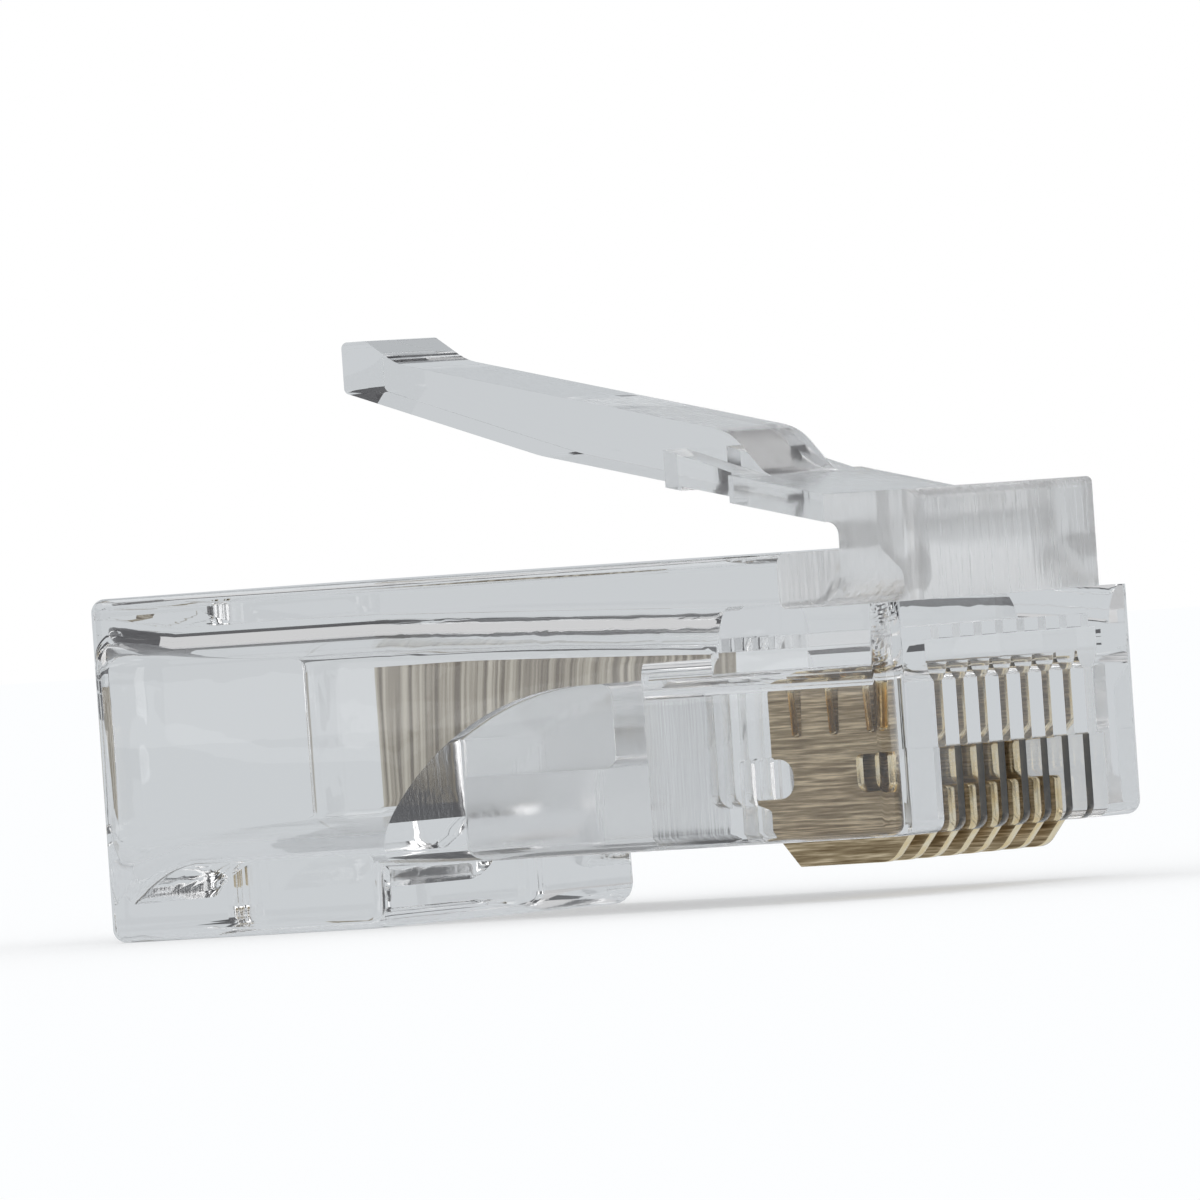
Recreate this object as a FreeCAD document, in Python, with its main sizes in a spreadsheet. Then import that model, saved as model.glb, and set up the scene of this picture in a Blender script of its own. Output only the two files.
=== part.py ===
# An eight-contact modular plug for a round cable: a clear moulded housing with
# a sprung latch and a cable clamping bar, and eight gold-plated contact blades.
# Lengths are in millimetres.  +X points to the nose, +Y lies across the width,
# +Z points to the latch, and the origin is under the middle of the plug.
import FreeCAD
import Part

import math
import os
import re
import Sketcher

Vector = FreeCAD.Vector

SIZES = [
    ("overlap", 0.1),            # how far joined features run into each other
    # the housing's outside
    ("body_width", 11.68),
    ("body_length", 21.46),
    ("nose_height", 6.6),        # front section, underside to top
    ("skirt_drop", 1.4),         # how far the rear section hangs below the front one
    ("skirt_length", 7.66),      # rear section, from the rear face
    ("skirt_radius", 0.5),
    ("nose_edge_radius", 0.54),
    ("rear_edge_radius", 0.65),
    ("side_edge_radius", 0.32),
    # the notches beside the latch root, and the head that stands on the nose
    ("ledge_drop", 1.27),        # below the nose's top
    ("notch_length", 2.83),
    ("notch_radius", 1.1),
    ("notch_end_radius", 0.2),
    ("head_width", 8.77),
    ("head_rise", 1.28),         # above the nose's top
    ("head_depth", 0.93),
    ("head_foot_depth", 0.35),
    ("head_foot_height", 0.67),
    ("head_edge_radius", 0.28),
    ("root_width", 6.22),
    ("root_length", 2.7),
    ("root_radius", 0.35),
    ("armpit_radius", 0.3),
    # the latch: distances run back from its hinge, heights from the plate's top there
    ("hinge_distance", 3.05),    # behind the nose face
    ("hinge_gap", 0.02),
    ("plate_thickness", 0.64),
    ("plate_length", 2.45),
    ("plate_slope", 0.24),
    ("heel_inset", 0.4),
    ("heel_length", 1.9),
    ("heel_lift", 0.1),
    ("heel_rise", 1.27),
    ("heel_foot_length", 0.42),
    ("lever_width", 3.25),
    ("lever_length", 13.4),
    ("lever_step", 0.84),        # lever top above the plate's top
    ("lever_start", 2.28),
    ("lever_ramp", 0.88),
    ("lever_nose_radius", 1.3),
    ("lever_bend", 8.25),
    ("tip_height", 4.29),
    ("tip_flat", 0.65),
    ("tip_ramp", 0.8),
    ("tip_thickness", 1.17),
    ("tip_radius", 0.15),
    # the contact blades: distances run back from the nose face
    ("contact_count", 8),
    ("contact_pitch", 1.016),
    ("blade_thickness", 0.33),
    ("blade_clearance", 0.02),
    ("blade_stickout", 0.6),     # below the front underside, before crimping
    ("crimp_stroke", 1.1),
    ("blade_front", 0.95),
    ("blade_back", 4.5),
    ("toe_rise", 0.7),           # the rounded front lower corner
    ("toe_run", 0.58),
    ("toe_radius", 0.5),
    ("tail_run", 0.55),          # the slope up to the rear
    ("barb_inset", 0.1),         # the rear edge: a barb, a throat, a spur and a bay
    ("barb_top", 0.16),
    ("throat_depth", 0.35),
    ("throat_low", 0.2),
    ("throat_top", 0.74),
    ("throat_radius", 0.12),
    ("spur_low", 0.88),
    ("spur_top", 0.99),
    ("bay_depth", 0.98),
    ("bay_top", 1.9),
    ("bay_radius", 0.38),
    ("shank_inset", 0.48),
    ("arm_reach", 0.35),         # the front edge: an arm over a square hole
    ("arm_low", 2.3),
    ("arm_inset", 0.1),
    ("arm_radius", 0.15),
    ("hole_depth", 0.89),
    ("hole_low", 1.04),
    ("hole_radius", 0.25),
    ("tine_height", 3.56),
    ("tine_depth", 1.17),
    ("tine_tip_radius", 0.17),
    ("gap_first", 1.19),         # the gaps between the tines, from the rear edge
    ("gap_pitch", 0.98),
    ("gap_width", 0.34),
    ("gap_foot", 0.22),
    # the slots and the wire space
    ("nose_wall", 0.32),
    ("wide_slot_width", 0.7),
    ("wide_slot_height", 1.95),
    ("wide_slot_end", 4.8),
    ("slot_height", 3.72),
    ("slot_end", 5.65),
    ("slot_floor", 0.85),
    ("slot_corner_radius", 0.15),
    ("wire_radius", 0.45),
    ("wire_floor", 3.88),
    ("wire_ceiling", 4.42),
    ("wire_end", 7.2),
    # the cable space
    ("cavity_width", 8.0),
    ("cavity_front_width", 7.4),
    ("cavity_floor", 0.3),
    ("roof_thickness", 0.78),
    ("front_roof_thickness", 1.15),
    ("cavity_radius", 1.08),
    ("cavity_front", 5.2),
    ("straight_length", 7.1),
    ("mouth_length", 1.7),
    ("mouth_drop", 0.85),
    ("mouth_rise", 0.35),
    ("mouth_spread", 0.95),      # to each side
    ("ramp_radius", 6.4),
    ("ramp_corner", 12.66),
    ("ramp_foot", 14.6),
    # the cable clamping bar and its window
    ("window_front", 7.46),
    ("window_rear", 12.4),
    ("window_width", 6.28),
    ("bar_underside", 1.93),
    ("bar_front_gap", 0.9),
    ("bar_side_gap", 0.12),
    ("bar_nose_radius", 0.3),
]


def makeSheet(document):
    sheet = document.addObject("Spreadsheet::Sheet", "Sizes")
    for row, (name, value) in enumerate(SIZES, start=1):
        sheet.set("A%d" % row, name)
        sheet.set("B%d" % row, str(value))
        sheet.setAlias("B%d" % row, name)
    document.recompute()
    return sheet


FUNCTIONS = ("sqrt", "tan", "cos", "sin", "min", "max")


def bound(text):
    """Point every size named in an expression at the spreadsheet."""
    def point(match):
        word = match.group(0)
        return word if word in FUNCTIONS else "Sizes." + word
    return re.sub(r"[a-z]+(_[a-z]+)*", point, str(text))


def front(distance):
    """X of a point that lies this far behind the nose face."""
    return "body_length / 2 - (%s)" % distance


def above(height):
    """Z of a point this far above the front section's underside."""
    return "skirt_drop + (%s)" % height


LEDGE = "nose_height - ledge_drop"
HEAD_TOP = "nose_height + head_rise"
CEILING = "nose_height - roof_thickness"
FRONT_CEILING = "nose_height - front_roof_thickness"


def number(item, text):
    value = item.evalExpression(bound(text))
    return float(getattr(value, "Value", value))


NEAR = 0.01      # how close an edge has to lie to a face to be picked
LEVEL = 0.99     # the share of an edge's direction that makes it square


# ---------------------------------------------------------------- drawing

def originPlane(body, role):
    return next(item for item in body.Origin.OriginFeatures if item.Role == role)


def addSketch(body, name, role, offset=None):
    sketch = body.newObject("Sketcher::SketchObject", name)
    sketch.AttachmentSupport = [(originPlane(body, role), "")]
    sketch.MapMode = "FlatFace"
    if offset is not None:
        sketch.setExpression("AttachmentOffset.Base.z", bound(offset))
    sketch.Visibility = False
    body.Document.recompute()
    return sketch


def placed(sketch, geometry, end, place):
    """Constraints that hold a point at a place given by two expressions."""
    return [(Sketcher.Constraint(kind, -1, 1, geometry, end, number(sketch, text)), text)
            for kind, text in zip(("DistanceX", "DistanceY"), place)]


def hold(sketch, rules):
    """Add constraints in one go, and bind those that carry an expression."""
    first = sketch.ConstraintCount
    sketch.addConstraint([rule[0] for rule in rules])
    for offset, rule in enumerate(rules):
        if rule[1] is not None:
            sketch.setExpression("Constraints[%d]" % (first + offset), bound(rule[1]))
    sketch.Document.recompute()


def cornerArc(before, corner, after, radius):
    """Start, end, anticlockwise arc and side of a rounded corner."""
    if not radius:
        return corner, corner, None, None
    into = (before - corner).normalize()
    out = (after - corner).normalize()
    half = into.getAngle(out) / 2
    reach = radius / math.tan(half)
    centre = corner + (into + out).normalize() * (radius / math.sin(half))
    start, end = corner + into * reach, corner + out * reach
    left_turn = into.cross(out).z < 0
    first, last = (start, end) if left_turn else (end, start)
    angles = [math.atan2(point.y - centre.y, point.x - centre.x) for point in (first, last)]
    circle = Part.Circle(centre, Vector(0, 0, 1), radius)
    return start, end, Part.ArcOfCircle(circle, *angles), left_turn


def drawOutline(sketch, corners):
    """Add a closed outline; a corner (x, y, radius) is rounded to that radius."""
    count = len(corners)
    places = [Vector(number(sketch, c[0]), number(sketch, c[1]), 0) for c in corners]
    bends = []
    for index, corner in enumerate(corners):
        radius = number(sketch, corner[2]) if len(corner) > 2 else 0
        after = places[(index + 1) % count]
        bends.append(cornerArc(places[index - 1], places[index], after, radius))
    lines = [Part.LineSegment(bends[index][1], bends[(index + 1) % count][0])
             for index in range(count)]
    sketch.addGeometry(lines, False)
    rules = []
    for index, corner in enumerate(corners):
        into, out = (index - 1) % count, index
        if len(corner) > 2:
            rules += bentCorner(sketch, into, out, places[index], bends[index], corner)
        else:
            rules.append((Sketcher.Constraint("Coincident", into, 2, out, 1), None))
            rules += placed(sketch, out, 1, corner)
    hold(sketch, rules)
    return sketch


def bentCorner(sketch, into, out, place, bend, corner):
    """Join two lines with a tangent arc, and hold the corner that it rounds off."""
    arc = sketch.addGeometry(bend[2], False)
    mark = sketch.addGeometry(Part.Point(place), True)
    near, far = (1, 2) if bend[3] else (2, 1)
    rules = [
        (Sketcher.Constraint("Tangent", into, 2, arc, near), None),
        (Sketcher.Constraint("Tangent", arc, far, out, 1), None),
        (Sketcher.Constraint("Radius", arc, number(sketch, corner[2])), corner[2]),
        (Sketcher.Constraint("PointOnObject", mark, 1, into), None),
        (Sketcher.Constraint("PointOnObject", mark, 1, out), None),
    ]
    return rules + placed(sketch, mark, 1, corner[:2])


def drawCircle(sketch, x, y, radius):
    centre = Vector(number(sketch, x), number(sketch, y), 0)
    circle = Part.Circle(centre, Vector(0, 0, 1), number(sketch, radius))
    index = sketch.addGeometry(circle, False)
    size = (Sketcher.Constraint("Radius", index, number(sketch, radius)), radius)
    hold(sketch, placed(sketch, index, 3, (x, y)) + [size])
    return sketch


def box(left, right, low, high, *radius):
    """Corners of a rectangle, each rounded when a radius is given."""
    places = [(left, low), (right, low), (right, high), (left, high)]
    return [place + radius for place in places]


def extrude(body, kind, name, sketch, length, symmetric=False, reverse=False):
    """Pad or Pocket a sketch by a length."""
    feature = body.newObject("PartDesign::" + kind, name)
    feature.Profile = sketch
    feature.Midplane = symmetric
    feature.Reversed = reverse
    feature.setExpression("Length", bound(length))
    body.Document.recompute()
    return feature


def profile(body, kind, name, corners, width):
    """Pad or Pocket a side-view outline to a width centred on the plug."""
    sketch = drawOutline(addSketch(body, name + "_outline", "XZ_Plane"), corners)
    return extrude(body, kind, name, sketch, width, symmetric=True)


def roundEdges(body, name, radius, chosen):
    """Fillet the edges of the body's tip whose middle point passes a test."""
    names = []
    for index, edge in enumerate(body.Tip.Shape.Edges, start=1):
        middle = edge.valueAt((edge.FirstParameter + edge.LastParameter) / 2)
        if chosen(middle, edge.tangentAt(edge.FirstParameter)):
            names.append("Edge%d" % index)
    base = body.Tip
    feature = body.newObject("PartDesign::Fillet", name)
    feature.Base = (base, names)
    feature.setExpression("Radius", bound(radius))
    body.Document.recompute()
    return feature


# ---------------------------------------------------------------- housing

def addShell(body):
    """The outside block: a shallow front section and a deeper rear one."""
    step = "body_length - skirt_length"
    bottom = "0 * skirt_drop"
    profile(body, "Pad", "block", [
        (front(0), above(0)),
        (front(0), above("nose_height")),
        (front("body_length"), above("nose_height")),
        (front("body_length"), bottom),
        (front(step), bottom, "skirt_radius"),
        (front(step), above(0)),
    ], "body_width")
    nose = number(body, front(0))
    rear = number(body, front("body_length"))
    side = number(body, "body_width / 2")
    roundEdges(body, "nose_edges", "nose_edge_radius",
               lambda p, way: p.x > nose - NEAR and abs(abs(p.y) - side) < NEAR)
    roundEdges(body, "rear_edges", "rear_edge_radius",
               lambda p, way: p.x < rear + NEAR and abs(abs(p.y) - side) < NEAR)
    roundEdges(body, "side_edges", "side_edge_radius",
               lambda p, way: abs(way.z) < LEVEL and p.x < nose - NEAR and
               (abs(abs(p.y) - side) < NEAR or p.x < rear + NEAR))


def addNotches(body):
    """The low ledges on both sides of the latch root."""
    edge = "body_width"
    foot = "root_width / 2"
    for side, name in ((1, "left_notch"), (-1, "right_notch")):
        sketch = addSketch(body, name + "_outline", "YZ_Plane", front(0))
        outer, inner = "%d * (%s)" % (side, edge), "%d * (%s)" % (side, foot)
        drawOutline(sketch, [
            (outer, above(LEDGE)),
            (inner, above(LEDGE), "notch_radius"),
            (inner, above(HEAD_TOP)),
            (outer, above(HEAD_TOP)),
        ])
        extrude(body, "Pocket", name, sketch, "notch_length")
    end = number(body, front("notch_length"))
    ledge = number(body, above(LEDGE))
    roundEdges(body, "notch_ends", "notch_end_radius",
               lambda p, way: abs(p.x - end) < NEAR and abs(p.z - ledge) < NEAR)


def addHead(body):
    """The wide head on the nose and the root that carries the latch."""
    foot = LEDGE + " - overlap"
    profile(body, "Pad", "head", [
        (front(0), above(foot)),
        (front(0), above(HEAD_TOP)),
        (front("head_depth"), above(HEAD_TOP)),
        (front("head_depth"), above("nose_height"), "root_radius"),
        (front("head_foot_depth"), above(LEDGE + " + head_foot_height"), "root_radius"),
        (front("head_foot_depth"), above(foot)),
    ], "head_width")
    hinge = "hinge_distance - hinge_gap / 2"
    armpit = HEAD_TOP + " - plate_thickness"
    profile(body, "Pad", "root", [
        (front("head_edge_radius"), above(LEDGE)),
        (front("head_edge_radius"), above(HEAD_TOP)),
        (front(hinge), above(HEAD_TOP)),
        (front(hinge), above(armpit)),
        (front("root_length"), above(armpit), "armpit_radius"),
        (front("root_length"), above(LEDGE)),
    ], "root_width")
    nose = number(body, front(0))
    wall = number(body, "root_width / 2")
    depth = number(body, front("head_depth"))
    ledge = number(body, above(LEDGE))
    roundEdges(body, "head_edges", "head_edge_radius",
               lambda p, way: p.x > nose - NEAR and p.z > ledge + NEAR)
    roundEdges(body, "root_edges", "root_radius",
               lambda p, way: abs(abs(p.y) - wall) < NEAR and abs(p.x - depth) < NEAR
               and abs(way.z) > LEVEL)


def spaceSection(body, name, distance, width, floor, ceiling, low_radius, high_radius):
    """A rounded opening across the plug, this far behind the nose face."""
    sketch = addSketch(body, name, "YZ_Plane", front(distance))
    half = "(%s) / 2" % width
    return drawOutline(sketch, [
        ("-1 * " + half, above(floor), low_radius),
        (half, above(floor), low_radius),
        (half, above(ceiling), high_radius),
        ("-1 * " + half, above(ceiling), high_radius),
    ])


def loftOut(body, name, sections, ruled):
    feature = body.newObject("PartDesign::SubtractiveLoft", name)
    feature.Profile = sections[0]
    feature.Sections = sections[1:]
    feature.Ruled = ruled
    body.Document.recompute()
    return feature


def mouthSection(body, name, share):
    """The opening at a share of the mouth's length; it flares more and more, like a bell."""
    drop, rise, spread = ("%s * %g" % (size, share ** 2)
                          for size in ("mouth_drop", "mouth_rise", "mouth_spread"))
    return spaceSection(body, name, "body_length - mouth_length * %g" % (1 - share),
                        "cavity_width + 2 * " + spread, "cavity_floor - " + drop,
                        CEILING + " + " + rise, "cavity_radius + " + drop,
                        "cavity_radius + " + rise)


def addCableSpace(body):
    """The space for the cable: a flared mouth, a straight part and a tapered one."""
    straight_end = "body_length - straight_length"
    radii = ("cavity_radius", "cavity_radius")
    straight = spaceSection(body, "straight_section", "body_length", "cavity_width",
                            "cavity_floor", CEILING, *radii)
    extrude(body, "Pocket", "straight_space", straight, "straight_length", reverse=True)
    wide = spaceSection(body, "taper_start", straight_end, "cavity_width",
                        "cavity_floor", CEILING, *radii)
    narrow = spaceSection(body, "taper_end", "cavity_front", "cavity_front_width",
                          "cavity_floor", FRONT_CEILING, *radii)
    loftOut(body, "tapered_space", [wide, narrow], ruled=True)
    mouth = [mouthSection(body, "mouth_%s" % name, share)
             for name, share in (("start", 0), ("middle", 0.5), ("end", 1))]
    loftOut(body, "mouth", mouth, ruled=False)


def addRamp(body):
    """The floor that lifts the wires from the cable to the contact slots."""
    buried = "cavity_floor - overlap"
    start = "cavity_front - overlap"
    profile(body, "Pad", "ramp", [
        (front(start), above(buried)),
        (front(start), above("wire_floor")),
        (front("ramp_corner"), above("wire_floor"), "ramp_radius"),
        (front("ramp_foot"), above("cavity_floor")),
        (front("ramp_foot"), above(buried)),
    ], "cavity_width + 2 * overlap")


def addWindow(body):
    """The opening under the clamping bar, through to the cable space."""
    profile(body, "Pocket", "bar_window",
            box(front("window_rear"), front("window_front"),
                above("-1 * overlap"), above("wire_floor + overlap")), "window_width")


def addWireSpace(body):
    """One flat slot for the row of wires, from the cable space to the nose wall."""
    half = "contact_pitch * contact_count / 2"
    sketch = addSketch(body, "wire_slot_outline", "YZ_Plane", front("nose_wall"))
    drawOutline(sketch, box("-1 * " + half, half, above("wire_floor"), above("wire_ceiling")))
    extrude(body, "Pocket", "wire_slot", sketch, "cavity_front - nose_wall + overlap")


def addContactSlots(body):
    """The slots and the wire groove of one contact, repeated at the pitch."""
    first = "contact_pitch * (contact_count - 1) / 2"
    narrow = "blade_thickness + 2 * blade_clearance"
    roof_start = "wire_ceiling - overlap"
    wide = addSketch(body, "wide_slot_outline", "XZ_Plane", first)
    drawOutline(wide, [
        (front("-1 * overlap"), above("-1 * overlap")),
        (front("-1 * overlap"), above("wide_slot_height")),
        (front("wide_slot_end"), above("wide_slot_height"), "slot_corner_radius"),
        (front("wide_slot_end"), above("-1 * overlap")),
    ])
    blade = addSketch(body, "blade_slot_outline", "XZ_Plane", first)
    drawOutline(blade, [
        (front("nose_wall"), above("slot_floor")),
        (front("nose_wall"), above(roof_start)),
        (front("wide_slot_end"), above(roof_start)),
        (front("wide_slot_end"), above("slot_height")),
        (front("slot_end"), above("slot_height")),
        (front("slot_end"), above("slot_floor"), "wide_slot_width / 2"),
    ])
    roof = addSketch(body, "roof_slot_outline", "XZ_Plane", first)
    drawOutline(roof, box(front("blade_back"), front("nose_wall"), above(roof_start),
                          above("tine_height + crimp_stroke + 3 * blade_clearance")))
    groove = addSketch(body, "wire_groove_outline", "YZ_Plane", front("nose_wall"))
    drawCircle(groove, "-1 * " + first, above("wire_floor"), "wire_radius")
    cuts = [
        extrude(body, "Pocket", "wide_slot", wide, "wide_slot_width", symmetric=True),
        extrude(body, "Pocket", "blade_slot", blade, narrow, symmetric=True),
        extrude(body, "Pocket", "roof_slot", roof, narrow, symmetric=True),
        extrude(body, "Pocket", "wire_groove", groove, "wire_end - nose_wall"),
    ]
    pattern = body.newObject("PartDesign::LinearPattern", "contact_slots")
    pattern.Originals = cuts
    pattern.Direction = (originPlane(body, "Y_Axis"), [""])
    pattern.setExpression("Length", bound("contact_pitch * (contact_count - 1)"))
    pattern.setExpression("Occurrences", bound("contact_count"))
    body.Tip = pattern
    body.Document.recompute()


def makeHousing(document):
    body = document.addObject("PartDesign::Body", "housing")
    addShell(body)
    addNotches(body)
    addHead(body)
    addCableSpace(body)
    addRamp(body)
    addWindow(body)
    addWireSpace(body)
    addContactSlots(body)
    return body


# ---------------------------------------------------------------- moving pieces

def behindHinge(distance):
    return front("hinge_distance + (%s)" % distance)


def plateTop(distance):
    return above(HEAD_TOP + " + plate_slope * (%s)" % distance)


def plateUnder(distance):
    return plateTop(distance) + " - plate_thickness"


def addPlate(body):
    profile(body, "Pad", "plate", [
        (behindHinge("hinge_gap / 2"), plateUnder("hinge_gap / 2")),
        (behindHinge("hinge_gap / 2"), plateTop("hinge_gap / 2")),
        (behindHinge("plate_length"), plateTop("plate_length")),
        (behindHinge("plate_length"), plateUnder("plate_length")),
    ], "root_width")


def addHeel(body):
    """The narrower rear of the plate, with a small foot under its end."""
    start = "plate_length - heel_lift"
    end = "plate_length + heel_length"
    foot = "plate_length + heel_length - heel_foot_length"
    profile(body, "Pad", "heel", [
        (behindHinge(start), plateUnder(start) + " + heel_lift"),
        (behindHinge(start), plateTop(start)),
        (behindHinge(end), above(HEAD_TOP + " + heel_rise")),
        (behindHinge(end), plateUnder(end)),
        (behindHinge(foot), plateUnder(foot)),
        (behindHinge(foot), plateUnder(foot) + " + heel_lift"),
        (behindHinge("plate_length"), plateUnder("plate_length") + " + heel_lift"),
    ], "root_width - 2 * heel_inset")


def addLever(body):
    ramp_end = "lever_start + lever_ramp"
    tip_flat = "lever_length - tip_flat"
    tip_ramp = "lever_length - tip_flat - tip_ramp"
    profile(body, "Pad", "lever", [
        (behindHinge("hinge_gap / 2"), plateUnder("hinge_gap / 2")),
        (behindHinge("hinge_gap / 2"), plateTop("hinge_gap / 2")),
        (behindHinge("lever_start"), plateTop("lever_start"), "lever_nose_radius / 2"),
        (behindHinge(ramp_end), plateTop(ramp_end) + " + lever_step", "lever_nose_radius"),
        (behindHinge(tip_ramp), plateTop(tip_ramp) + " + lever_step", "lever_nose_radius"),
        (behindHinge(tip_flat), above(HEAD_TOP + " + tip_height"), "tip_radius"),
        (behindHinge("lever_length"), above(HEAD_TOP + " + tip_height"), "tip_radius"),
        (behindHinge("lever_length"), above(HEAD_TOP + " + tip_height - tip_thickness"),
         "tip_radius"),
        (behindHinge("lever_bend"), plateUnder("lever_bend"), "3 * lever_nose_radius"),
    ], "lever_width")


def makeLatch(document):
    body = document.addObject("PartDesign::Body", "latch")
    addPlate(body)
    addHeel(body)
    addLever(body)
    return body


def makeBar(document):
    """The clamping bar: its top goes on with the ramp, its rear end is the hinge."""
    body = document.addObject("PartDesign::Body", "strain_relief_bar")
    nose = "window_front + bar_front_gap"
    profile(body, "Pad", "bar", [
        (front(nose), above("cavity_floor")),
        (front(nose), above("wire_floor")),
        (front("ramp_corner"), above("wire_floor"), "ramp_radius"),
        (front("ramp_foot"), above("cavity_floor")),
    ], "window_width - 2 * bar_side_gap")
    profile(body, "Pocket", "underside",
            box(front("body_length"), front("window_front"),
                above("0 * cavity_floor"), above("bar_underside")), "window_width")
    profile(body, "Pocket", "hinge_line",
            box(front("body_length"), front("window_rear - hinge_gap"),
                above("0 * cavity_floor"), above("wire_floor + overlap")), "window_width")
    free_end = number(body, front(nose))
    roundEdges(body, "bar_nose", "bar_nose_radius",
               lambda p, way: abs(p.x - free_end) < NEAR and abs(way.y) > LEVEL)
    return body


def bladeOutline():
    """The blade in side view without its tines, from the lower front corner round."""
    outline = [
        ("blade_front", "toe_rise - blade_stickout", "toe_radius"),
        ("blade_front + toe_run", "-1 * blade_stickout", "toe_radius"),
        ("blade_back - tail_run", "-1 * blade_stickout"),
        ("blade_back - barb_inset", "-1 * blade_clearance"),
        ("blade_back - barb_inset", "barb_top"),
        ("blade_back - throat_depth", "throat_low", "throat_radius"),
        ("blade_back - throat_depth", "throat_top", "throat_radius"),
        ("blade_back", "spur_low"),
        ("blade_back", "spur_top"),
        ("blade_back - bay_depth", "spur_top", "bay_radius"),
        ("blade_back - bay_depth", "bay_top", "bay_radius"),
        ("blade_back - shank_inset", "bay_top"),
        ("blade_back - shank_inset", "tine_height"),
        ("blade_front - arm_reach", "tine_height"),
        ("blade_front - arm_reach", "arm_low", "arm_radius"),
        ("blade_front + arm_inset", "bay_top", "arm_radius"),
        ("blade_front + hole_depth", "bay_top", "throat_radius"),
        ("blade_front + hole_depth", "hole_low", "hole_radius"),
        ("blade_front", "hole_low", "throat_radius"),
    ]
    return [(front(corner[0]), above(corner[1])) + corner[2:] for corner in outline]


def cutTines(body, place):
    """Three rounded gaps leave three piercing tines and the front arm."""
    top, bottom = above("tine_height + overlap"), above("tine_height - tine_depth")
    foot_radius = "gap_foot * 0.45"
    for index in range(3):
        middle = "blade_back - gap_first - gap_pitch * %d" % index
        corners = [
            (front(middle + " - gap_width / 2"), top),
            (front(middle + " + gap_width / 2"), top),
            (front(middle + " + gap_foot / 2"), bottom, foot_radius),
            (front(middle + " - gap_foot / 2"), bottom, foot_radius),
        ]
        name = "tine_gap_%d" % (index + 1)
        sketch = drawOutline(addSketch(body, name + "_outline", "XZ_Plane", place), corners)
        extrude(body, "Pocket", name, sketch, "2 * blade_thickness", symmetric=True)
    peak = number(body, above("tine_height"))
    roundEdges(body, "tine_tips", "tine_tip_radius",
               lambda p, way: abs(p.z - peak) < NEAR and abs(way.y) > LEVEL)


def makeContact(document):
    body = document.addObject("PartDesign::Body", "contact_1")
    place = "contact_pitch * (contact_count - 1) / 2"
    sketch = drawOutline(addSketch(body, "blade_outline", "XZ_Plane", place), bladeOutline())
    extrude(body, "Pad", "blade", sketch, "blade_thickness", symmetric=True)
    cutTines(body, place)
    return body


def repeatContact(document, original, index):
    """A clone of the first contact, moved over by whole pitches."""
    body = document.addObject("PartDesign::Body", "contact_%d" % (index + 1))
    clone = body.newObject("PartDesign::FeatureBase", body.Name + "_clone")
    clone.BaseFeature = original
    body.setExpression("Placement.Base.y", bound("contact_pitch * %d" % index))
    return body


# ---------------------------------------------------------------- document

def checkDocument(document, bodies):
    for item in document.Objects:
        if "Invalid" in item.State or "Error" in item.State:
            raise RuntimeError("%s failed: %s" % (item.Label, item.State))
    for body in bodies:
        if body.Shape.isNull() or not body.Shape.isValid():
            raise RuntimeError("%s has no valid shape" % body.Label)
        if len(body.Shape.Solids) != 1:
            raise RuntimeError("%s is %d solids" % (body.Label, len(body.Shape.Solids)))


def main():
    document = FreeCAD.newDocument("modular_plug")
    sheet = makeSheet(document)
    bodies = [makeHousing(document), makeLatch(document), makeBar(document)]
    contact = makeContact(document)
    bodies.append(contact)
    for index in range(1, int(sheet.contact_count)):
        bodies.append(repeatContact(document, contact, index))
    document.recompute()
    checkDocument(document, bodies)
    os.makedirs("parts", exist_ok=True)
    for body in bodies:
        body.Shape.exportStep("parts/%s.step" % body.Label)
        print("%-20s %9.3f mm3" % (body.Label, body.Shape.Volume))


main()
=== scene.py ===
import math
import bmesh
import bpy
from mathutils import Matrix, Vector


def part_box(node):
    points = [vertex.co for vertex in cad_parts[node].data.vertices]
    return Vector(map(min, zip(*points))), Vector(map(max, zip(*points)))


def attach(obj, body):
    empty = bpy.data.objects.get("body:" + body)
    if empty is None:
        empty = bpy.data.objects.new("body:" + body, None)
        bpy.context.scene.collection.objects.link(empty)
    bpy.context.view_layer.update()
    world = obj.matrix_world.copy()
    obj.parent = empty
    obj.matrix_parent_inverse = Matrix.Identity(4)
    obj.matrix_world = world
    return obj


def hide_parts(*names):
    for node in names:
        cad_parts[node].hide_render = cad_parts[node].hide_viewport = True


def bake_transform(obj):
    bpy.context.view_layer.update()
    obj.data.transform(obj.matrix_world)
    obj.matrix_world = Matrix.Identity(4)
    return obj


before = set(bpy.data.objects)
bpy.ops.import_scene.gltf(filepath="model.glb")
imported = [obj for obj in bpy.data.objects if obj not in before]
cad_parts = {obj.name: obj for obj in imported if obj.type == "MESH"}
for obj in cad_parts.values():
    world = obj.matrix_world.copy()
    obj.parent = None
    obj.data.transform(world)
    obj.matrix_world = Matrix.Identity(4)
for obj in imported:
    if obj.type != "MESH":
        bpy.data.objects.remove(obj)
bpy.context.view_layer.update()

mm = 0.001


# nodes and links

def newMaterial(name):
    material = bpy.data.materials.new(name)
    material.use_nodes = True
    material.node_tree.nodes.clear()
    return material


def addNode(tree, kind, **inputs):
    node = tree.nodes.new(kind)
    for name, value in inputs.items():  # an underscore stands for a space
        node.inputs[name.replace("_", " ")].default_value = value
    return node


def addMath(tree, operation, first, second):
    node = tree.nodes.new("ShaderNodeMath")
    node.operation = operation
    for socket, value in zip(node.inputs, (first, second)):
        if isinstance(value, (int, float)):
            socket.default_value = value
        else:
            tree.links.new(value, socket)
    return node.outputs[0]


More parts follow.
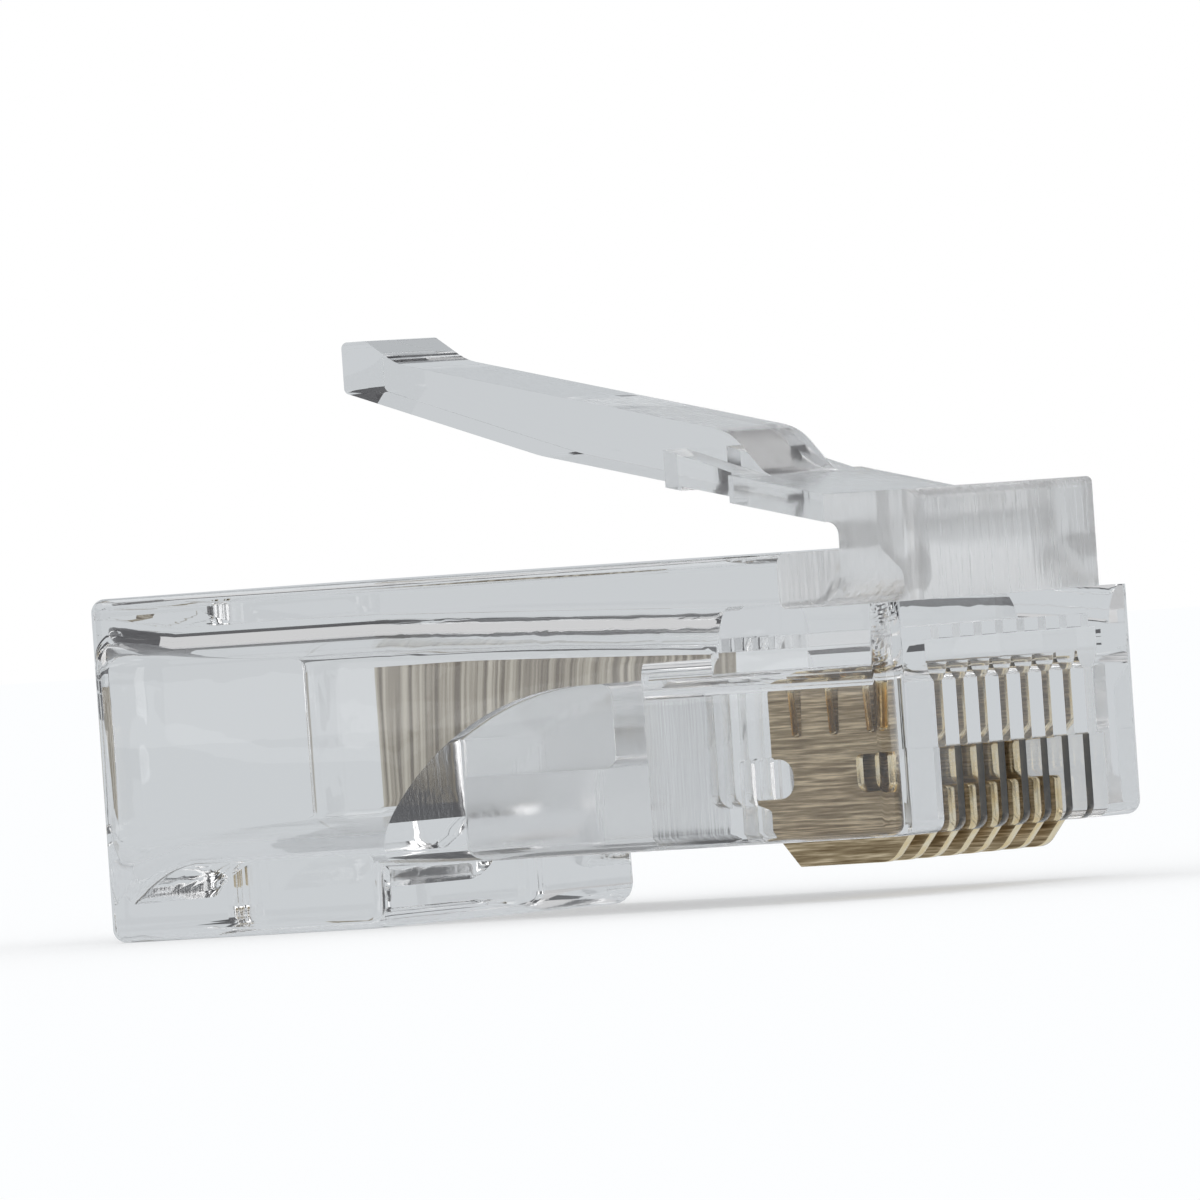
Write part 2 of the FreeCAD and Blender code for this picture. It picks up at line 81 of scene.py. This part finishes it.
# noise on the piece's own coordinates, with a scale for each axis
def stretchedNoise(tree, scale, detail):
    place = addNode(tree, "ShaderNodeTexCoord")
    stretch = addNode(tree, "ShaderNodeMapping", Scale=scale)
    noise = addNode(tree, "ShaderNodeTexNoise", Scale=1.0, Detail=detail)
    tree.links.new(place.outputs["Object"], stretch.inputs["Vector"])
    tree.links.new(stretch.outputs[0], noise.inputs["Vector"])
    return noise.outputs["Fac"]


# colours by value, from pairs of position and colour
def toneRamp(tree, value, tones):
    ramp = addNode(tree, "ShaderNodeValToRGB")
    stops = ramp.color_ramp.elements
    while len(stops) < len(tones):
        stops.new(0.5)
    for stop, (position, color) in zip(stops, tones):
        stop.position = position
        stop.color = color
    tree.links.new(value, ramp.inputs["Fac"])
    return ramp.outputs["Color"]


def addBump(tree, height, depth):
    bump = addNode(tree, "ShaderNodeBump", Strength=1.0, Distance=depth)
    tree.links.new(height, bump.inputs["Height"])
    return bump.outputs[0]


def finish(tree, shader):
    output = addNode(tree, "ShaderNodeOutputMaterial")
    tree.links.new(shader, output.inputs["Surface"])


def addObject(name, data):
    item = bpy.data.objects.new(name, data)
    bpy.context.scene.collection.objects.link(item)
    return item


# the mesh that a piece has once its modifiers have run
def evaluatedMesh(piece):
    bpy.context.view_layer.update()
    whole = piece.evaluated_get(bpy.context.evaluated_depsgraph_get())
    return bpy.data.meshes.new_from_object(whole)


# clear plastic

plastic = {
    "tint": (0.996, 0.996, 0.996, 1.0),
    "ior": 1.585,             # polycarbonate
    "reflections": 3.5,       # light reflected more often leaves straight out
    "surfaces": 9.5,          # and so does light that has met more surfaces
    "noiseDetail": 3.0,
    "polished": {"haze": 0.0, "roughness": 0.0, "scale": (500.0, 500.0, 900.0),
                 "depth": 0.0002 * mm},
    "frosted": {"haze": 0.3, "roughness": 0.26, "scale": (3600.0, 3600.0, 350.0),
                "depth": 0.07 * mm},
    "satin": {"haze": 0.06, "roughness": 0.12, "scale": (4500.0, 4500.0, 700.0),
              "depth": 0.007 * mm},
}


def clearPlastic(name):
    look = plastic[name]
    material = newMaterial(name + "Plastic")
    tree = material.node_tree
    height = stretchedNoise(tree, look["scale"], plastic["noiseDetail"])
    shader = addNode(tree, "ShaderNodeBsdfPrincipled", Base_Color=plastic["tint"],
                     IOR=plastic["ior"], Roughness=look["roughness"],
                     Transmission_Weight=1.0 - look["haze"])
    tree.links.new(addBump(tree, height, look["depth"]), shader.inputs["Normal"])
    path = addNode(tree, "ShaderNodeLightPath")
    inside = addMath(tree, "LESS_THAN", path.outputs["Glossy Depth"], plastic["reflections"])
    early = addMath(tree, "LESS_THAN", path.outputs["Ray Depth"], plastic["surfaces"])
    tree.links.new(addMath(tree, "MINIMUM", inside, early), shader.inputs["Alpha"])
    finish(tree, shader.outputs[0])
    return material


# one moulding is split at its flexures, and light passes there as if it weren't
def seamPlastic():
    material = newMaterial("flexureSeam")
    tree = material.node_tree
    finish(tree, addNode(tree, "ShaderNodeBsdfTransparent").outputs[0])
    return material


finishes = [clearPlastic("polished"), clearPlastic("frosted"), clearPlastic("satin"),
            seamPlastic()]
polished, frosted, satin, seam = range(4)


# the moulding: housing, latch and clamping bar

moulding = {
    "weld": 0.0005 * mm,
    "flat": math.radians(0.5),          # faces that turn less than this are one
    "sharpAngle": math.radians(24),
    "bevelAngle": math.radians(40),
    "bevelSegments": 2,
    "bevel": 0.035 * mm,
    "latchBevel": 0.16 * mm,
    "latchSegments": 4,
    "onPlane": 0.001 * mm,
    "onCut": 0.0001 * mm,
    "flexureGap": 0.02 * mm,            # between the solids, closed here
    "rootMargin": 0.1 * mm,
    "bendLength": 1.1 * mm,
    "ledge": 6.73 * mm,
    "areaWeight": 100,
}

# where the housing and the latch aren't polished
matt = {
    "headLow": 8.01 * mm,               # above the body's top
    "noseLow": 6.71 * mm,               # and, from noseBack on, above the ledge
    "noseBack": 7.88 * mm,
    "windowBack": -1.7 * mm,
    "windowFront": 3.3 * mm,
    "windowSide": 3.2 * mm,
    "windowTop": 5.0 * mm,
    "lowest": 1.5 * mm,                 # faces that look down, near the foot
    "facingDown": -0.5,
    "ceilingLow": 5.2 * mm,
    "ceilingHigh": 5.9 * mm,
    "level": 0.9,
    "latchRoot": 3.2 * mm,
}


# the node's mesh, with its loose triangles joined into faces
def weldedCopy(node):
    work = bmesh.new()
    work.from_mesh(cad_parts[node].data)
    bmesh.ops.remove_doubles(work, verts=work.verts, dist=moulding["weld"])
    bmesh.ops.dissolve_limit(work, angle_limit=moulding["flat"], verts=work.verts,
                             edges=work.edges, delimit={"NORMAL"})
    for face in work.faces:
        face.material_index = polished
    return work


def onPlane(face, x):
    return all(abs(vert.co.x - x) < moulding["onPlane"] for vert in face.verts)


def markSeam(work, x, inside=lambda middle: True):
    for face in work.faces:
        if onPlane(face, x) and inside(face.calc_center_median()):
            face.material_index = seam


def moveEnd(work, fromX, toX):
    for vert in work.verts:
        if abs(vert.co.x - fromX) < moulding["onPlane"]:
            vert.co.x = toX


# cuts the faces that lie in the plane at x along another plane
def cutWall(work, x, point, normal):
    faces = [face for face in work.faces if onPlane(face, x)]
    parts = faces + list({edge for face in faces for edge in face.edges})
    parts += list({vert for face in faces for vert in face.verts})
    bmesh.ops.bisect_plane(work, geom=parts, plane_co=point, plane_no=normal,
                           dist=moulding["onCut"])


def giveFinish(work, choose):
    for face in work.faces:
        if face.material_index != seam:
            face.material_index = choose(face.calc_center_median(), face.normal)


def bevelEdges(work, edges, width, segments):
    bmesh.ops.bevel(work, geom=edges, offset=width, segments=segments, profile=0.5,
                    affect="EDGES", clamp_overlap=True)


# a small bevel on each square edge that doesn't touch a seam
def softenEdges(work, width, segments):
    chosen = []
    for edge in work.edges:
        if len(edge.link_faces) != 2 or edge.calc_face_angle(0.0) < moulding["bevelAngle"]:
            continue
        around = [face for vert in edge.verts for face in vert.link_faces]
        if any(face.material_index == seam for face in around):
            continue
        chosen.append(edge)
    bevelEdges(work, chosen, width, segments)


def smoothByAngle(work):
    for face in work.faces:
        face.smooth = True
    for edge in work.edges:
        edge.smooth = (len(edge.link_faces) == 2 and
                       edge.calc_face_angle(0.0) < moulding["sharpAngle"])


# normals weighted by area, so that a bevel doesn't bend the light in the flat beside it
def keepFlatFaces(piece):
    weight = piece.modifiers.new("weightedNormals", "WEIGHTED_NORMAL")
    weight.mode = "FACE_AREA"
    weight.weight = moulding["areaWeight"]
    weight.keep_sharp = True
    mesh = evaluatedMesh(piece)
    piece.modifiers.remove(weight)
    piece.data = mesh


def addPiece(name, work, node):
    mesh = bpy.data.meshes.new(name)
    work.to_mesh(mesh)
    work.free()
    for material in finishes:
        mesh.materials.append(material)
    piece = addObject(name, mesh)
    keepFlatFaces(piece)
    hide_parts(node)
    return piece


def housingFinish(middle, normal):
    if middle.z > matt["headLow"]:
        return frosted
    if middle.z > matt["noseLow"] and middle.x > matt["noseBack"]:
        return frosted
    inWindow = (matt["windowBack"] < middle.x < matt["windowFront"] and
                abs(middle.y) < matt["windowSide"])
    if inWindow and middle.z < matt["windowTop"]:
        return satin
    if middle.z < matt["lowest"] and normal.z < matt["facingDown"]:
        return satin
    if matt["ceilingLow"] < middle.z < matt["ceilingHigh"] and abs(normal.z) > matt["level"]:
        return satin
    return polished


def latchFinish(middle, normal):
    return satin if middle.x > matt["latchRoot"] else polished


def barFinish(middle, normal):
    return satin


def makeMoulding():
    latchLow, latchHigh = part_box("latch")
    barLow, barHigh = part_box("strain_relief_bar")
    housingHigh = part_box("housing")[1]
    rootPlane = latchHigh.x + moulding["flexureGap"]   # the wall that the latch grows from
    webPlane = barLow.x - moulding["flexureGap"]       # and the one that the bar grows from

    latch = weldedCopy("latch")
    moveEnd(latch, latchHigh.x, rootPlane)
    markSeam(latch, rootPlane)
    giveFinish(latch, latchFinish)

    bar = weldedCopy("strain_relief_bar")
    moveEnd(bar, barLow.x, webPlane)
    markSeam(bar, webPlane)
    giveFinish(bar, barFinish)

    housing = weldedCopy("housing")
    cutWall(housing, housingHigh.x, Vector((0, 0, moulding["ledge"])), Vector((0, 0, 1)))
    markSeam(housing, rootPlane, lambda middle: middle.z > latchLow.z - moulding["rootMargin"])
    cutWall(housing, webPlane, Vector((0, barLow.y, 0)), Vector((0, 1, 0)))
    cutWall(housing, webPlane, Vector((0, barHigh.y, 0)), Vector((0, 1, 0)))
    cutWall(housing, webPlane, Vector((0, 0, barLow.z)), Vector((0, 0, 1)))
    markSeam(housing, webPlane,
             lambda middle: barLow.y < middle.y < barHigh.y and middle.z > barLow.z)
    giveFinish(housing, housingFinish)

    softenEdges(housing, moulding["bevel"], moulding["bevelSegments"])
    softenEdges(latch, moulding["latchBevel"], moulding["latchSegments"])
    softenEdges(bar, moulding["bevel"], moulding["bevelSegments"])
    for work in (housing, latch, bar):
        smoothByAngle(work)
    housing = addPiece("clearHousing", housing, "housing")
    latch = addPiece("clearLatch", latch, "latch")
    bar = addPiece("clearBar", bar, "strain_relief_bar")
    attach(housing, "shell")
    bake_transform(latch)
    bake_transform(bar)


makeMoulding()
print("moulding: housing, latch and clamping bar")


# contacts

contact = {
    "count": 8,
    "pitch": 1.016 * mm,
    "bevel": 0.03 * mm,
    "bevelSegments": 2,
    "sharpAngle": math.radians(35),
    "sideways": 0.9,          # a face that looks along Y at least this squarely is a side
    "grainDetail": 5.0,
    "brushedGold": {
        "tones": [(0.3, (0.21, 0.15, 0.08, 1.0)), (0.5, (0.44, 0.34, 0.21, 1.0)),
                  (0.7, (0.92, 0.77, 0.54, 1.0))],
        "scale": (1100.0, 9000.0, 20000.0), "roughness": 0.34, "depth": 0.004 * mm,
    },
    # the faces that don't look along Y: the plating's gold, lifted to pale cream as painted
    # highlight where the sheared edges catch the light
    "paintedHighlightGold": {
        "tones": [(0.3, (0.93, 0.72, 0.38, 1.0)), (0.7, (1.0, 0.91, 0.70, 1.0))],
        "scale": (3000.0, 3000.0, 3000.0), "roughness": 0.16, "depth": 0.002 * mm,
    },
}


def goldPlate(name):
    look = contact[name]
    material = newMaterial(name)
    tree = material.node_tree
    grain = stretchedNoise(tree, look["scale"], contact["grainDetail"])
    shader = addNode(tree, "ShaderNodeBsdfPrincipled", Metallic=1.0,
                     Roughness=look["roughness"])
    tree.links.new(toneRamp(tree, grain, look["tones"]), shader.inputs["Base Color"])
    tree.links.new(addBump(tree, grain, look["depth"]), shader.inputs["Normal"])
    finish(tree, shader.outputs[0])
    return material


brushedGold = goldPlate("brushedGold")
# the second gold is the pale one with painted highlight, for the blade edges
paintedHighlightGold = goldPlate("paintedHighlightGold")


# the first blade, with its sheared edges eased
def bladeBlank():
    work = weldedCopy("contact_1")
    edges = [edge for edge in work.edges if len(edge.link_faces) == 2 and
             edge.calc_face_angle(0.0) > contact["sharpAngle"]]
    bevelEdges(work, edges, contact["bevel"], contact["bevelSegments"])
    smoothByAngle(work)
    mesh = bpy.data.meshes.new("bladeBlank")
    work.to_mesh(mesh)
    work.free()
    return addObject("bladeBlank", mesh)


# a row of blades at the pitch, of which Which keeps one, because each rides alone
def bladeRowTree():
    tree = bpy.data.node_groups.new("bladeRow", "GeometryNodeTree")
    for name, kind in (("Geometry", "Geometry"), ("Count", "Int"), ("Pitch", "Float"),
                       ("Which", "Int")):
        tree.interface.new_socket(name, in_out="INPUT", socket_type="NodeSocket" + kind)
    tree.interface.new_socket("Geometry", in_out="OUTPUT", socket_type="NodeSocketGeometry")
    start = tree.nodes.new("NodeGroupInput")
    end = tree.nodes.new("NodeGroupOutput")
    line = tree.nodes.new("GeometryNodeMeshLine")
    step = tree.nodes.new("ShaderNodeCombineXYZ")
    index = tree.nodes.new("GeometryNodeInputIndex")
    same = tree.nodes.new("FunctionNodeCompare")
    same.data_type = "INT"
    same.operation = "EQUAL"
    row = tree.nodes.new("GeometryNodeInstanceOnPoints")
    real = tree.nodes.new("GeometryNodeRealizeInstances")
    normal = tree.nodes.new("GeometryNodeInputNormal")
    parts = tree.nodes.new("ShaderNodeSeparateXYZ")
    size = tree.nodes.new("ShaderNodeMath")
    size.operation = "ABSOLUTE"
    flat = tree.nodes.new("ShaderNodeMath")
    flat.operation = "GREATER_THAN"
    flat.inputs[1].default_value = contact["sideways"]
    # every face first gets the pale gold with painted highlight, then the faces that look along
    # Y get the brushed gold
    edges = tree.nodes.new("GeometryNodeSetMaterial")
    edges.inputs["Material"].default_value = paintedHighlightGold
    sides = tree.nodes.new("GeometryNodeSetMaterial")
    sides.inputs["Material"].default_value = brushedGold
    wires = [
        (start.outputs["Count"], line.inputs["Count"]),
        (start.outputs["Pitch"], step.inputs["Y"]),
        (step.outputs[0], line.inputs["Offset"]),
        (line.outputs[0], row.inputs["Points"]),
        (start.outputs["Geometry"], row.inputs["Instance"]),
        (index.outputs[0], same.inputs[2]),
        (start.outputs["Which"], same.inputs[3]),
        (same.outputs[0], row.inputs["Selection"]),
        (row.outputs[0], real.inputs[0]),
        (real.outputs[0], edges.inputs["Geometry"]),
        (edges.outputs[0], sides.inputs["Geometry"]),
        (normal.outputs[0], parts.inputs[0]),
        (parts.outputs["Y"], size.inputs[0]),
        (size.outputs[0], flat.inputs[0]),
        (flat.outputs[0], sides.inputs["Selection"]),
        (sides.outputs[0], end.inputs[0]),
    ]
    for source, target in wires:
        tree.links.new(source, target)
    return tree


def makeContacts():
    tree = bladeRowTree()
    sockets = {item.name: item.identifier for item in tree.interface.items_tree
               if item.in_out == "INPUT"}
    for index in range(contact["count"]):
        blank = bladeBlank()
        row = blank.modifiers.new("bladeRow", "NODES")
        row.node_group = tree
        row[sockets["Count"]] = contact["count"]
        row[sockets["Pitch"]] = contact["pitch"]
        row[sockets["Which"]] = index
        mesh = evaluatedMesh(blank)
        bpy.data.objects.remove(blank)
        blade = addObject("goldBlade%d" % (index + 1), mesh)
        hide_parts("contact_%d" % (index + 1))
        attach(blade, "blade_%d" % (index + 1))


makeContacts()
print("contacts: eight gold blades")


# camera, floor, backdrop and light

view = {
    "azimuth": math.radians(29.792),   # from square at the side, round to the nose
    "height": math.radians(0.5537),
    "roll": math.radians(-3.9598),
    "distance": 475.04 * mm,
    "lens": 615.73,
    "sensor": 36.0,
    "clip": (0.01, 100.0),
    "target": Vector((2.73, 0.0, 4.7)) * mm,
    "aside": -2.687 * mm,              # where the middle of the picture lies
    "up": 2.3145 * mm,
}
turn, lift = view["azimuth"], view["height"]
toCamera = Vector((math.sin(turn) * math.cos(lift), -math.cos(turn) * math.cos(lift),
                   math.sin(lift)))
sideways = Vector((0, 0, 1)).cross(toCamera).normalized()
upward = toCamera.cross(sideways)


def addCamera():
    roll = view["roll"]
    right = math.cos(roll) * sideways + math.sin(roll) * upward
    up = math.cos(roll) * upward - math.sin(roll) * sideways
    place = view["target"] + toCamera * view["distance"]
    middle = view["target"] + view["aside"] * right + view["up"] * up
    away = (place - middle).normalized()
    across = up.cross(away).normalized()
    camera = bpy.data.objects.new("camera", bpy.data.cameras.new("camera"))
    camera.data.sensor_width = view["sensor"]
    camera.data.lens = view["lens"]
    camera.data.clip_start, camera.data.clip_end = view["clip"]
    rotation = Matrix((across, away.cross(across), away)).transposed().to_4x4()
    camera.matrix_world = Matrix.Translation(place) @ rotation
    bpy.context.scene.collection.objects.link(camera)
    bpy.context.scene.camera = camera


studio = {
    "white": (1.0, 1.0, 1.0, 1.0),
    "backdrop": (0.59, 0.615, 0.635, 1.0),     # what shows through the clear plastic
    "floorTone": (0.52, 0.53, 0.54, 1.0),
    "floorGlow": 0.46,
    "floorSize": 0.8,
    "room": (0.065, 0.065, 0.07, 1.0),          # beyond the backdrop, for plastic and metal
    "backdropDistance": 140 * mm,
    "backdropHalfWidth": 260 * mm,
    "backdropTop": 75 * mm,
}


def addWorld():
    world = bpy.data.worlds.new("studio")
    bpy.context.scene.world = world
    world.use_nodes = True
    tree = world.node_tree
    tree.nodes.clear()
    path = addNode(tree, "ShaderNodeLightPath")
    seen = addNode(tree, "ShaderNodeBackground", Color=studio["white"], Strength=1.0)
    around = addNode(tree, "ShaderNodeBackground", Color=studio["room"], Strength=1.0)
    pick = addNode(tree, "ShaderNodeMixShader")
    output = addNode(tree, "ShaderNodeOutputWorld")
    bent = addMath(tree, "MAXIMUM", path.outputs["Is Glossy Ray"],
                   path.outputs["Is Transmission Ray"])
    tree.links.new(bent, pick.inputs[0])
    tree.links.new(seen.outputs[0], pick.inputs[1])
    tree.links.new(around.outputs[0], pick.inputs[2])
    tree.links.new(pick.outputs[0], output.inputs["Surface"])


def addCard(name, middle, corners, material):
    mesh = bpy.data.meshes.new(name)
    mesh.from_pydata([tuple(corner) for corner in corners], [], [range(len(corners))])
    mesh.materials.append(material)
    card = addObject(name, mesh)
    card.location = middle
    return card


def oblong(right, up):
    return [-right - up, right - up, right + up, up - right]


# pale paper that takes the shadow; to all but the camera it is the backdrop
def floorPaper():
    material = newMaterial("floorPaper")
    tree = material.node_tree
    path = addNode(tree, "ShaderNodeLightPath")
    paper = addNode(tree, "ShaderNodeBsdfDiffuse", Color=studio["floorTone"])
    glow = addNode(tree, "ShaderNodeEmission", Color=studio["white"],
                   Strength=studio["floorGlow"])
    lit = addNode(tree, "ShaderNodeAddShader")
    through = addNode(tree, "ShaderNodeEmission", Color=studio["backdrop"], Strength=1.0)
    pick = addNode(tree, "ShaderNodeMixShader")
    tree.links.new(paper.outputs[0], lit.inputs[0])
    tree.links.new(glow.outputs[0], lit.inputs[1])
    tree.links.new(path.outputs["Is Camera Ray"], pick.inputs[0])
    tree.links.new(through.outputs[0], pick.inputs[1])
    tree.links.new(lit.outputs[0], pick.inputs[2])
    finish(tree, pick.outputs[0])
    return material


def onlyThroughPlastic(card, reflected):
    card.visible_camera = False
    card.visible_diffuse = False
    card.visible_shadow = False
    card.visible_glossy = reflected


def greyBackdrop():
    material = newMaterial("greyBackdrop")
    tree = material.node_tree
    finish(tree, addNode(tree, "ShaderNodeEmission", Color=studio["backdrop"],
                         Strength=1.0).outputs[0])
    middle = -toCamera * studio["backdropDistance"] + Vector((0, 0, studio["backdropTop"] / 2))
    card = addCard("greyBackdrop", middle, oblong(sideways * studio["backdropHalfWidth"],
                                                  upward * studio["backdropTop"] / 2), material)
    onlyThroughPlastic(card, True)


# painted light: the place, outline, streaks and tones of the glowing card seen through the
# plastic
paintedGlow = {
    "distance": 12.5 * mm,            # behind the middle of the plug
    "outline": [(-7.1, -2.9), (-5.0, -0.9), (-2.5, 0.1), (1.5, 0.4), (1.5, 1.4), (-7.1, 1.4)],
    "grain": (7000.0, 7000.0, 20.0),
    "grainDetail": 4.0,
    "tones": [(0.38, (0.10, 0.08, 0.055, 1.0)), (0.5, (0.24, 0.215, 0.17, 1.0)),
              (0.62, (0.40, 0.375, 0.315, 1.0))],
}


# painted light: a glowing brown, streaked card close behind the plug, seen only through the
# plastic and cut to where that brown glow shows there
def paintedGlowCard():
    material = newMaterial("paintedGlowPanel")
    tree = material.node_tree
    grain = stretchedNoise(tree, paintedGlow["grain"], paintedGlow["grainDetail"])
    glow = addNode(tree, "ShaderNodeEmission", Strength=1.0)
    tree.links.new(toneRamp(tree, grain, paintedGlow["tones"]), glow.inputs["Color"])
    finish(tree, glow.outputs[0])
    middle = view["target"] - toCamera * paintedGlow["distance"]
    corners = [(right * sideways + up * upward) * mm for right, up in paintedGlow["outline"]]
    card = addCard("paintedGlowCard", middle, corners, material)
    onlyThroughPlastic(card, False)


# places and sizes in metres; all face the origin
lamps = {
    "topBox": {"place": (0.02, 0.05, 0.45), "size": (0.8, 0.8), "power": 1.9,
               "throughPlastic": False},
    "noseBox": {"place": (0.32, -0.18, 0.10), "size": (0.25, 0.25), "power": 0.3,
                "throughPlastic": True},
    "sideBox": {"place": (-0.22, -0.40, 0.08), "size": (0.45, 0.35), "power": 0.24,
                "throughPlastic": True},
    "fillBox": {"place": (-0.242, -0.043, 0.315), "size": (0.44, 0.44), "power": 0.34,
                "throughPlastic": True},
}


def addSoftbox(name, place, size, power, throughPlastic):
    lamp = bpy.data.lights.new(name, "AREA")
    lamp.shape = "RECTANGLE"
    lamp.size, lamp.size_y = size
    lamp.energy = power
    box = bpy.data.objects.new(name, lamp)
    box.visible_diffuse = False
    box.visible_transmission = throughPlastic
    bpy.context.scene.collection.objects.link(box)
    away = Vector(place).normalized()
    box.matrix_world = (Matrix.Translation(place) @
                        away.to_track_quat("Z", "Y").to_matrix().to_4x4())


addCamera()
addWorld()
addCard("floor", Vector((0, 0, 0)), oblong(Vector((studio["floorSize"], 0, 0)),
                                           Vector((0, studio["floorSize"], 0))), floorPaper())
greyBackdrop()
paintedGlowCard()
for name, lamp in lamps.items():
    addSoftbox(name, **lamp)
bpy.context.scene.view_settings.view_transform = "Standard"
print("studio: camera, floor, panel and soft light")
